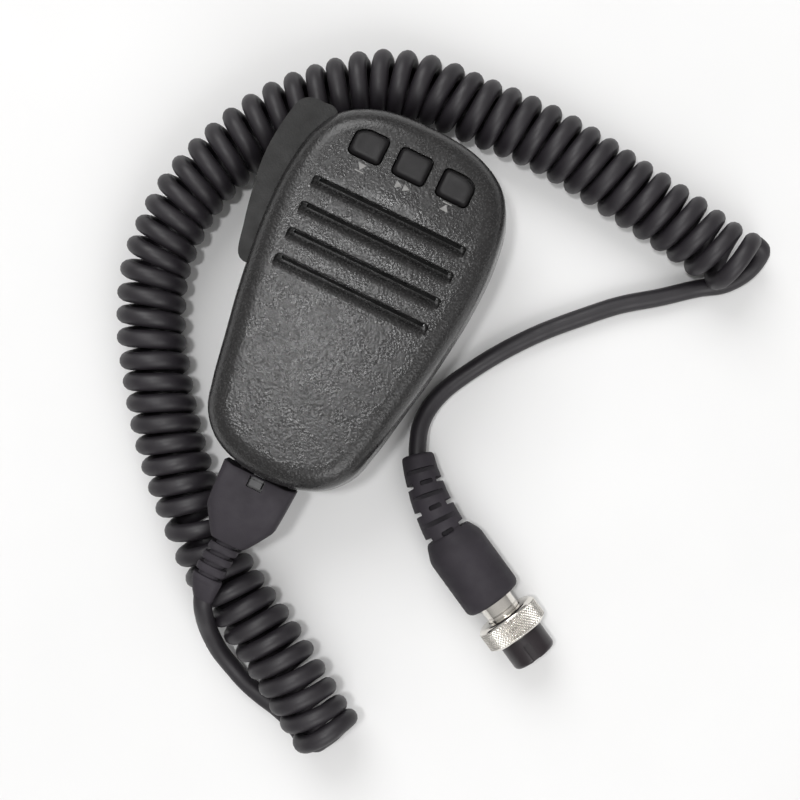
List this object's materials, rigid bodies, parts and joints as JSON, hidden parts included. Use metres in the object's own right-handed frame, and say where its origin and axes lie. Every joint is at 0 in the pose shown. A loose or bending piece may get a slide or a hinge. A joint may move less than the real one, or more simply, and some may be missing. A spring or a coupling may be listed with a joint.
{
  "type": "hand microphone",
  "caption": "Hand microphone with a louvred face, face keys and a side talk lever, on a plug-in curly cord that ends in a round screw-on connector.",
  "frame": {"origin": "on the surface that the microphone lies on, below the middle of its case and lever", "axes": "+Y along the case towards its key end, +Z out of its face, +X to the right as the face is seen with the keys up"},
  "size_m": [0.1667, 0.2017, 0.0382],
  "materials": {
    "case_plastic": "black, finely spark-grained",
    "lever_plastic": "black, smoother than the case",
    "key_rubber": "black, matt",
    "boot_rubber": "dark grey moulded rubber, matt",
    "cord_jacket": "black extruded jacket, matt",
    "black_plastic": "black moulded",
    "insert_plastic": "black thermoset, satin",
    "plug_plastic": "grey translucent, glossy",
    "nickel": "nickel plate, polished",
    "steel": "zinc-plated steel",
    "capsule_can": "tinned steel",
    "brass": "plated brass",
    "circuit_board": "green solder mask",
    "screen_cloth": "black acoustic cloth",
    "gasket_foam": "open foam",
    "lead_black": "black wire insulation",
    "lead_red": "red wire insulation",
    "ribbon": "grey flat cable",
    "capacitor_sleeve": "dark blue sleeve"
  },
  "bodies": {
    "case": {"front_cover": "case_plastic", "rear_cover": "case_plastic", "case_screw_top_left": "steel", "case_screw_top_right": "steel", "case_screw_bottom_left": "steel", "case_screw_bottom_right": "steel", "tact_switch_down": "black_plastic", "tact_switch_fast": "black_plastic", "tact_switch_up": "black_plastic", "button_board": "circuit_board", "button_board_screw_1": "steel", "button_board_screw_2": "steel", "ptt_pivot_pin": "steel", "ptt_switch": "black_plastic", "acoustic_screen": "screen_cloth", "capsule_gasket": "gasket_foam", "microphone_capsule": "capsule_can", "capsule_lead_left": "lead_black", "capsule_lead_right": "lead_red", "main_board": "circuit_board", "main_board_screw_1": "steel", "main_board_screw_2": "steel", "ribbon_cable": "ribbon", "preamplifier_chip": "black_plastic", "coupling_capacitor": "capacitor_sleeve", "tone_switch": "capsule_can", "modular_jack": "black_plastic", "modular_plug": "plug_plastic", "hang_button": "nickel", "hang_button_screw": "steel", "hang_button_nut": "brass", "mic_boot": "boot_rubber", "cord_tail_microphone": "cord_jacket", "curly_cord": "cord_jacket", "cord_tail_connector": "cord_jacket", "connector_boot": "boot_rubber", "connector_barrel": "nickel", "connector_insert": "insert_plastic", "socket_contact_1": "brass", "socket_contact_2": "brass", "socket_contact_3": "brass", "socket_contact_4": "brass", "socket_contact_5": "brass", "socket_contact_6": "brass", "socket_contact_7": "brass", "socket_contact_8": "brass"},
    "button_down": {"button_down": "key_rubber", "tact_plunger_down": "black_plastic"},
    "button_fast": {"button_fast": "key_rubber", "tact_plunger_fast": "black_plastic"},
    "button_up": {"button_up": "key_rubber", "tact_plunger_up": "black_plastic"},
    "lever": {"ptt_lever": "lever_plastic", "ptt_torsion_spring": "steel"},
    "ptt_plunger": {"ptt_switch_plunger": "key_rubber"},
    "tone_slider": {"tone_slider": "black_plastic"},
    "nut_slide": {"nut_ring": "steel"},
    "coupling_nut": {"coupling_nut": "nickel"}
  },
  "joints": [
    {"name": "down_press", "type": "slide", "parent": "case", "child": "button_down", "axis": [0, 0, -1], "range_m": [0, 0.0005], "stiffness_N_per_m": 900, "springref_m": -0.0004},
    {"name": "fast_press", "type": "slide", "parent": "case", "child": "button_fast", "axis": [0, 0, -1], "range_m": [0, 0.0005], "stiffness_N_per_m": 900, "springref_m": -0.0004},
    {"name": "up_press", "type": "slide", "parent": "case", "child": "button_up", "axis": [0, 0, -1], "range_m": [0, 0.0005], "stiffness_N_per_m": 900, "springref_m": -0.0004},
    {"name": "lever_press", "type": "hinge", "parent": "case", "child": "lever", "pos_m": [-0.02495, 0.0032, 0.0256], "axis": [0, 0, -1], "range_deg": [0, 3.5], "stiffness_Nm_per_rad": 0.8, "springref_deg": -2.86},
    {"name": "ptt_plunger_press", "type": "slide", "parent": "case", "child": "ptt_plunger", "axis": [1, 0, 0], "range_m": [0, 0.00205]},
    {"name": "tone_select", "type": "slide", "parent": "case", "child": "tone_slider", "axis": [1, 0, 0], "range_m": [0, 0.002]},
    {"name": "nut_travel", "type": "slide", "parent": "case", "child": "nut_slide", "axis": [0.8829, -0.4695, 0], "range_m": [-0.004, 0.004]},
    {"name": "nut_spin", "type": "hinge", "parent": "nut_slide", "child": "coupling_nut", "pos_m": [0.08299, -0.06094, 0.0095], "axis": [0.8829, -0.4695, 0], "continuous": true}
  ],
  "couplings": [
    {"joint": "ptt_plunger_press", "follows": "lever_press", "m_per_rad": 0.0318}
  ]
}
